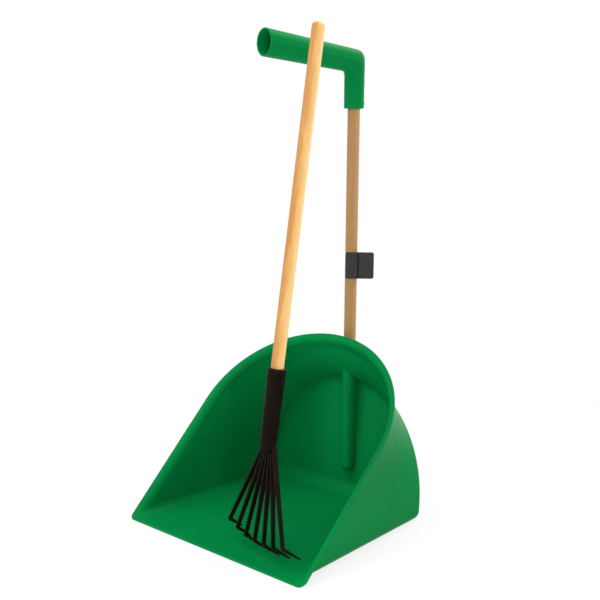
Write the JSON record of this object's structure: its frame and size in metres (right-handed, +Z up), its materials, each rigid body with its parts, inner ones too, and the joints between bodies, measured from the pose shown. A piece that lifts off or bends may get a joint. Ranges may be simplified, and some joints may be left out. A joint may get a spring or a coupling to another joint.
{
  "type": "manure scoop with rake",
  "caption": "Plastic manure scoop with an arched flared mouth, upright wooden shaft and angled grip, a swivelling clip on the shaft, and a loose tined rake standing in it.",
  "frame": {"origin": "middle of the scoop's flat base, on the ground", "axes": "+Z up along the scoop's shaft, -Y out of the scoop's mouth over its lip, +X to the right looking from the lip to the back wall"},
  "size_m": [0.418, 0.3894, 0.8703],
  "materials": {
    "green_plastic": "smooth moulded, low gloss",
    "shaft_wood": "bare turned wood",
    "rake_wood": "pale turned wood, waxed",
    "rake_plastic": "moulded, satin",
    "clip_plastic": "moulded, dull",
    "screw_steel": "zinc plated"
  },
  "bodies": {
    "scoop": {"scoop_body": "green_plastic", "scoop_shaft": "shaft_wood", "shaft_screws": "screw_steel", "handle_grip": "green_plastic", "grip_screws": "screw_steel"},
    "clip": {"rake_clip": "clip_plastic"},
    "rake": {"rake_head": "rake_plastic", "rake_handle": "rake_wood", "rake_screw": "screw_steel"}
  },
  "joints": [
    {"name": "clip_swivel", "type": "hinge", "parent": "scoop", "child": "clip", "pos_m": [0, 0.1766, 0.4443], "axis": [0, 0, 1], "continuous": true},
    {"name": "rake_lift", "type": "slide", "parent": "scoop", "child": "rake", "axis": [0.0334, 0.1299, 0.991], "range_m": [0, 0.45]}
  ]
}
